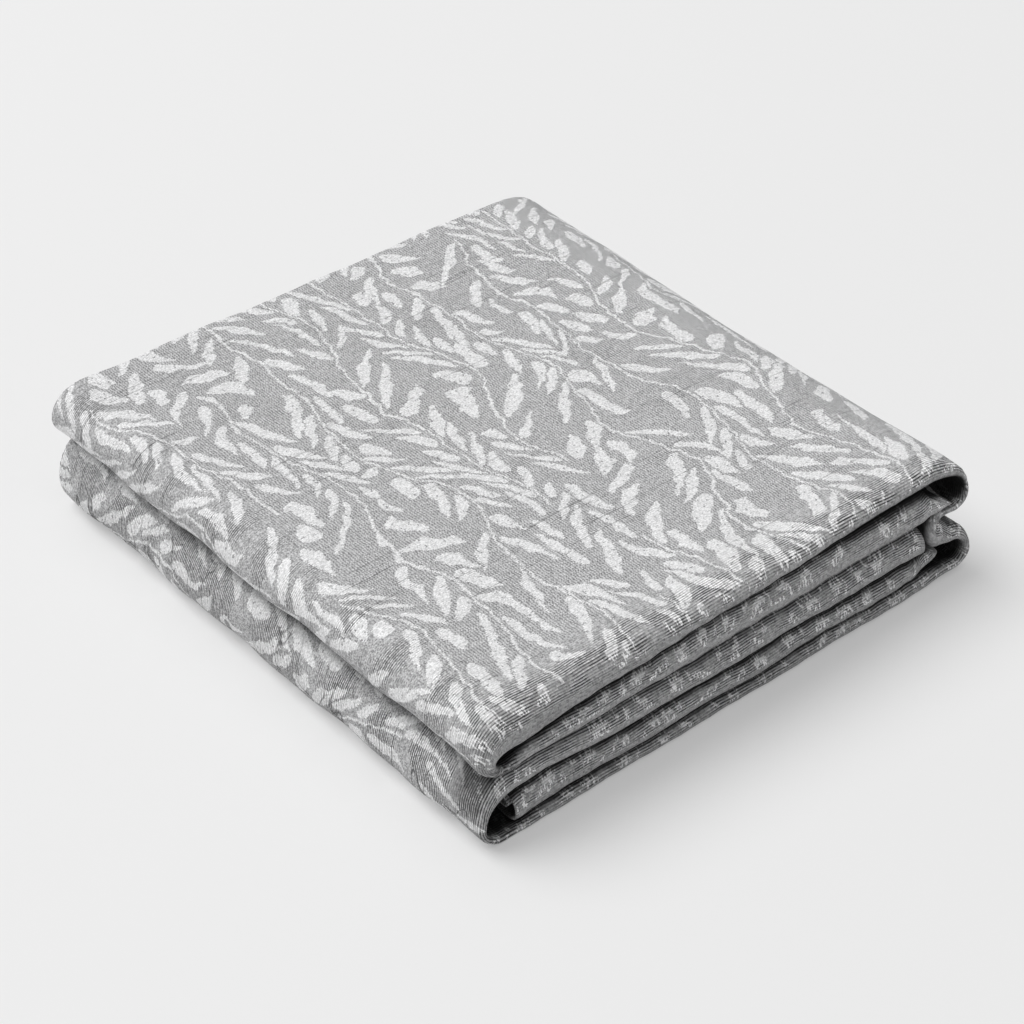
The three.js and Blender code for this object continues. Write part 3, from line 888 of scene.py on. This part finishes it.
def rib_lines(cloth):
    """Ribs along the strap, and how bold they are: most where the cloth rolls over the front and
    round the left."""
    set_in = cloth.set_in
    ribs = set_in("rib", (cloth.across * (2 * math.pi / RIB)).sine())
    bold = set_in("ribs by front", cloth.front) * set_in("ribs by band", cloth.band)
    bold *= set_in("ribs on edge", cloth.upright)
    bold *= set_in("worn", cloth.cloud("worn"))
    left = cloth.left * LEFT_RIBS * set_in("left", cloth.patches)
    low_left = cloth.low_left * set_in("low left", cloth.patches)
    bold = bold.or_more(left.or_more(low_left)).or_more(set_in("elsewhere", cloth.patches))
    return ribs, bold


def rib_shade(cloth, mask, ribs, bold):
    """Painted highlight on the ribs and painted shade in broken lines between them, and painted
    shade in the groove where a roll bears on the next and at its very edge."""
    set_in = cloth.set_in
    broken = cloth.chance(cloth.thread, cloth.along // RIB_PIECE) * 0.5 + 0.75
    broken *= cloth.blend(mask, 1, RIB_ON_LEAF)
    shade = bold * (1 - ribs) * RIB_SHADE * broken + bold * RIB_LIGHT
    bears = set_in("bears", cloth.band) * BEARS_SHADE
    edge = set_in("lower edge", cloth.band).or_more(set_in("upper edge", cloth.band)) * EDGE_SHADE
    return shade - bears.or_more(edge) * set_in("painted groove shade", cloth.front)


def thin_lines(cloth):
    """Thin dark lines: a thicker thread now and then, and painted shade of creases in the lower
    left fold."""
    length, shift, rare, at_left = SLUB
    slub = cloth.chance(cloth.thread, (cloth.own * shift + cloth.along / length).floor())
    slub = (slub + cloth.left * at_left > rare) * cloth.set_in("slubs", cloth.patches)
    crease = abs((cloth.cloud("creases") * CREASES).fract() - 0.5)
    return slub + cloth.set_in("crease", crease) * cloth.low_left * CREASE_SHADE


def ground_shade(cloth, grain):
    """Grain of the ground and, where it lies flat, fine broken lines of thread across the strap."""
    lines = (cloth.own * GROUND_BREAKS + cloth.along * (2 * math.pi / GROUND_LINE)).sine()
    bent = cloth.set_in("bent", cloth.front).or_more(cloth.left)
    depth = bent * GROUND_GRAIN[0] + GROUND_GRAIN[1]
    return lines * (bent * GROUND_LINES[0] + GROUND_LINES[1]) + ((grain - 0.5) * depth + 1)


def fold_shades(cloth):
    """Painted shade of the folds, as shares of the colour left: in an open one, under a roll, and
    a painted shadow where the upper left fold bears on the lower one."""
    set_in = cloth.set_in
    turned = set_in("under", cloth.front)
    under = turned * set_in("underside", cloth.band)
    under = under.or_more(turned * (cloth.upright * EDGEWISE_SHADE))
    meets = set_in("folds meet", abs(cloth.height - FOLDS_MEET))
    meets *= set_in("by the left", cloth.left) * set_in("back", cloth.back)
    return cloth.hollow * HOLLOW_SHADE + 1, 1 - under, 1 - meets


def jacquard(name, ground, leaf):
    """Matte cloth with a grey ground and paler leaves, and painted shade and highlights."""
    material, tree, shader, _ = new_material(name)
    cloth = Cloth(tree)
    grain = thread_grain(cloth)
    mask, on_roll = woven_leaves(cloth)
    ribs, bold = rib_lines(cloth)
    # On the front rolls the leaves get a painted highlight.
    leaf_shade = grain * LEAF_GRAIN + (on_roll * LEAF_LIGHT[0] + LEAF_LIGHT[1])
    shade = cloth.blend(mask, ground_shade(cloth, grain), leaf_shade)
    # Painted shade and highlight of the ribs and grooves, painted crease shade, and thick threads.
    lines = rib_shade(cloth, mask, ribs, bold) + thin_lines(cloth)
    shade *= (lines + 1).or_more(DARKEST)
    # Painted shade of the folds.
    for left_over in fold_shades(cloth):
        shade *= left_over
    colours = {0: mask, 6: (*ground, 1), 7: (*leaf, 1)}
    colour = cloth.fed("Mix", colours, 2, data_type="RGBA")
    relief = ribs * (bold * RIB_RELIEF[0] + RIB_RELIEF[1]) + grain * GRAIN_RELIEF
    bump = {"Strength": 0.6, "Distance": 0.4 * MM, "Height": relief}
    looks = {
        "Base Color": cloth.scaled(colour, shade),
        "Roughness": cloth.blend(mask, *ROUGHNESS),
        "Specular IOR Level": 0.3,
        "Normal": cloth.fed("Bump", bump),
    }
    cloth.feed(shader.inputs, looks)
    return material


def floor_paper(name, colour, glow):
    """Pale paper, darker towards the right with painted shade, that glows to lighten the shadow on
    it.
    """
    material, tree, shader, output = new_material(name)
    wires = Wiring(tree)
    x, y, _ = wires.split(wires.node("TexCoord").outputs["Object"])
    paper = wires.scaled(colour, wires.ramp(x - y, *FLOOR_PAINTED_SHADE, kind="LINEAR"))
    looks = {"Base Color": paper, "Roughness": 0.9, "Specular IOR Level": 0}
    wires.feed(shader.inputs, looks)
    seen = wires.node("LightPath").outputs
    share = wires.math("MAXIMUM", seen["Is Camera Ray"], seen["Is Glossy Ray"]) * glow
    emission = wires.fed("Emission", {"Color": paper})
    mixed = wires.fed("MixShader", (share, shader.outputs[0], emission))
    wires.feed(output.inputs, [mixed])
    return material


# ---- Settings that a user would change ----
COLOUR = {"subtype": "COLOR", "size": 3, "min": 0, "max": 1}


class TABLECLOTH_PG_cloth(bpy.types.PropertyGroup):
    ground: bpy.props.FloatVectorProperty(
        name="Ground", description="Colour of the woven ground", **COLOUR,
        default=(0.457, 0.457, 0.462),
    )
    leaf: bpy.props.FloatVectorProperty(
        name="Leaf", description="Colour of the woven leaves", **COLOUR,
        default=(0.76, 0.76, 0.765),
    )
    pucker: bpy.props.FloatProperty(
        name="Puckers", description="How deep the small puckers in the cloth are", min=0,
        default=0.0016, subtype="DISTANCE", unit="LENGTH", precision=4,
    )
    pucker_length: bpy.props.FloatProperty(
        name="Pucker length", description="From one pucker to the next", min=0.005,
        default=0.042, subtype="DISTANCE", unit="LENGTH", precision=3,
    )


class TABLECLOTH_PG_stage(bpy.types.PropertyGroup):
    floor: bpy.props.FloatVectorProperty(
        name="Floor", description="Colour of the floor", **COLOUR,
        default=(0.845, 0.845, 0.845),
    )
    glow: bpy.props.FloatProperty(
        name="Glow", description="Share of the floor's look that is its own glow", subtype="FACTOR",
        min=0, max=1, default=0.36,
    )
    lamp: bpy.props.FloatProperty(
        name="Lamp", description="Strength of the lamp", min=0, default=1.95,
    )
    overhead: bpy.props.FloatProperty(
        name="Overhead", description="Strength of the soft lamp overhead", min=0, default=0.8,
    )
    sky: bpy.props.FloatProperty(
        name="Fill", description="Strength of the light from all sides", min=0, default=0.26,
    )


# ---- Operators ----
def placed(name, data):
    """A new object in the scene."""
    item = bpy.data.objects.new(name, data)
    bpy.context.scene.collection.objects.link(item)
    return item


class TABLECLOTH_OT_panel(bpy.types.Operator):
    """Build the folded, hemmed panel of cloth"""

    bl_idname = "tablecloth.panel"
    bl_label = "Hemmed panel"

    def execute(self, context):
        sizes = context.scene.tablecloth_cloth
        mesh, flat = cloth_mesh("Hemmed panel")
        panel = placed("Hemmed_panel", mesh)
        values = {
            "Depth": sizes.pucker,
            "Length": sizes.pucker_length,
            "Seed": PUCKER_SEED,
            "Clear of the floor": CLEAR_OF_FLOOR * MM,
            "Material": jacquard("Leaf jacquard", sizes.ground, sizes.leaf),
        }
        grown(panel, pucker_tree(), values)
        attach(panel, "root")
        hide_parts(NODE)
        flat[0] * MM
        flat[1] * MM
        return {"FINISHED"}


class TABLECLOTH_OT_stage(bpy.types.Operator):
    """Lay the plain floor and set the lights and the camera"""

    bl_idname = "tablecloth.stage"
    bl_label = "Stage"

    def execute(self, context):
        scene = context.scene
        sizes = scene.tablecloth_stage
        scene.view_settings.view_transform = "Standard"
        mesh = bpy.data.meshes.new("Floor")
        around = ((-1, -1), (1, -1), (1, 1), (-1, 1))
        corners = [(x * FLOOR_HALF, y * FLOOR_HALF, 0) for x, y in around]
        mesh.from_pydata(corners, [], [(0, 1, 2, 3)])
        floor = placed("Floor", mesh)
        mesh.materials.append(floor_paper("Floor", sizes.floor, sizes.glow))
        world = bpy.data.worlds.new("Fill")
        world.use_nodes = True
        background = world.node_tree.nodes["Background"].inputs
        Wiring(world.node_tree).feed(background, ((1, 1, 1, 1), sizes.sky))
        scene.world = world
        for name, strength, angle, towards in LAMPS:
            lamp = bpy.data.lights.new(name, "SUN")
            lamp.energy = getattr(sizes, strength)
            lamp.angle = math.radians(angle)
            turned = Vector(towards).normalized().to_track_quat("Z", "Y")
            placed(name, lamp).rotation_euler = turned.to_euler()
        place_camera(scene)
        return {"FINISHED"}


def place_camera(scene):
    turn, rise = math.radians(CAMERA_TURN), math.radians(CAMERA_RISE)
    level = math.cos(rise)
    back = Vector((math.sin(turn) * level, -math.cos(turn) * level, math.sin(rise)))
    right = Vector((math.cos(turn), math.sin(turn), 0))
    turned = Matrix((right, back.cross(right), back)).transposed().to_4x4()
    data = bpy.data.cameras.new("Camera")
    data.lens, data.sensor_width = LENS, SENSOR
    camera = placed("Camera", data)
    place = Vector(CAMERA_AIM) + back * CAMERA_AWAY
    camera.matrix_world = Matrix.Translation(place) @ turned
    scene.camera = camera


class TABLECLOTH_PT_sidebar(bpy.types.Panel):
    """Lists the cloth's settings and the buttons that build it"""

    bl_idname = "TABLECLOTH_PT_sidebar"
    bl_label = "Tablecloth"
    bl_space_type = "VIEW_3D"
    bl_region_type = "UI"
    bl_category = "Tablecloth"

    def draw(self, context):
        for group in (context.scene.tablecloth_cloth, context.scene.tablecloth_stage):
            for name in group.__annotations__:
                self.layout.prop(group, name)
        for operator in OPERATORS:
            self.layout.operator(operator.bl_idname)


GROUPS = {"tablecloth_cloth": TABLECLOTH_PG_cloth, "tablecloth_stage": TABLECLOTH_PG_stage}
OPERATORS = (TABLECLOTH_OT_panel, TABLECLOTH_OT_stage)
CLASSES = (*GROUPS.values(), *OPERATORS, TABLECLOTH_PT_sidebar)


def register():
    for item in CLASSES:
        bpy.utils.register_class(item)
    for name, group in GROUPS.items():
        setattr(bpy.types.Scene, name, bpy.props.PointerProperty(type=group))


def unregister():
    for name in GROUPS:
        delattr(bpy.types.Scene, name)
    for item in reversed(CLASSES):
        bpy.utils.unregister_class(item)


def main():
    register()
    bpy.ops.tablecloth.panel()
    bpy.ops.tablecloth.stage()


if __name__ == "__main__":
    main()
